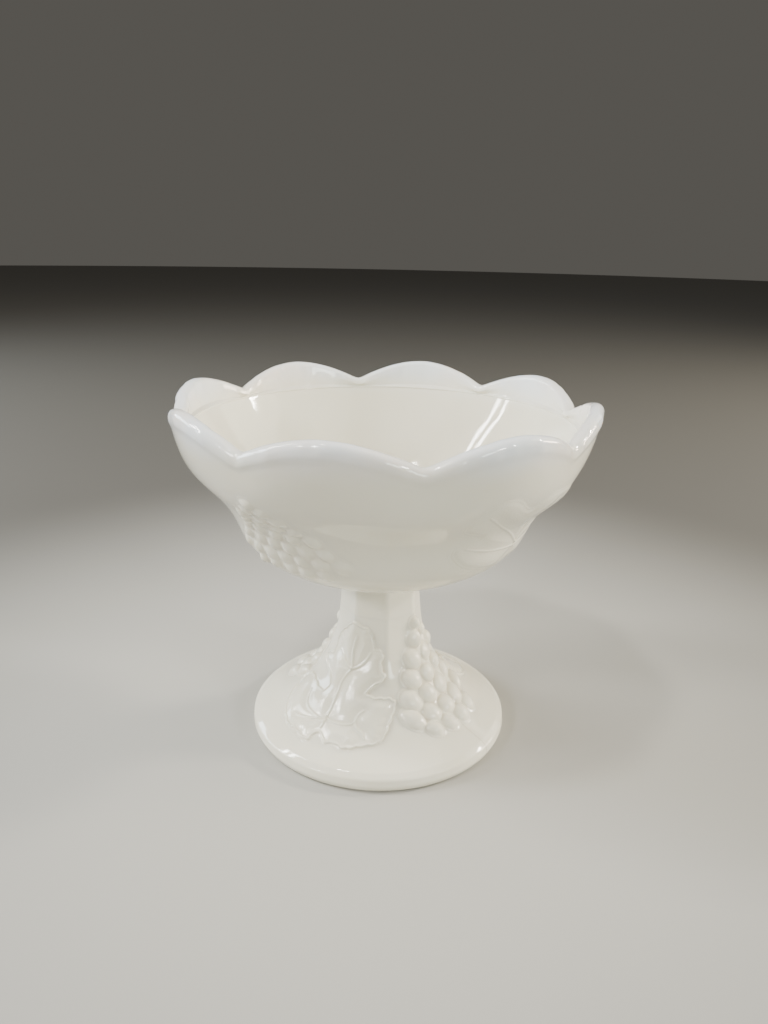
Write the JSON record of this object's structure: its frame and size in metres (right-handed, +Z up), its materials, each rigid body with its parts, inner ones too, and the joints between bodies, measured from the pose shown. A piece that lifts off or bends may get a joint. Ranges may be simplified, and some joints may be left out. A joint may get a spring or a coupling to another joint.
{
  "type": "footed compote bowl",
  "caption": "Footed compote bowl in white opal glass: scalloped bowl on an octagonal stem and a flared hollow foot, with vine leaves and grapes in relief.",
  "frame": {"origin": "centre of the ring that the foot rests on, on the vessel's axis", "axes": "+Z up along the vessel's axis of symmetry; -Y towards a cusp of the rim that lies over an edge of the stem"},
  "size_m": [0.1364, 0.1364, 0.1226],
  "materials": {
    "opal_glass": "gloss",
    "opal_glass_relief": "gloss"
  },
  "bodies": {
    "root": {"bowl": "opal_glass", "stem": "opal_glass", "foot": "opal_glass", "foot_leaf_1": "opal_glass_relief", "foot_leaf_2": "opal_glass_relief", "foot_grapes_1": "opal_glass_relief", "foot_grapes_2": "opal_glass_relief", "bowl_leaf_1": "opal_glass_relief", "bowl_leaf_2": "opal_glass_relief", "bowl_grapes_1": "opal_glass_relief", "bowl_grapes_2": "opal_glass_relief"}
  },
  "joints": []
}
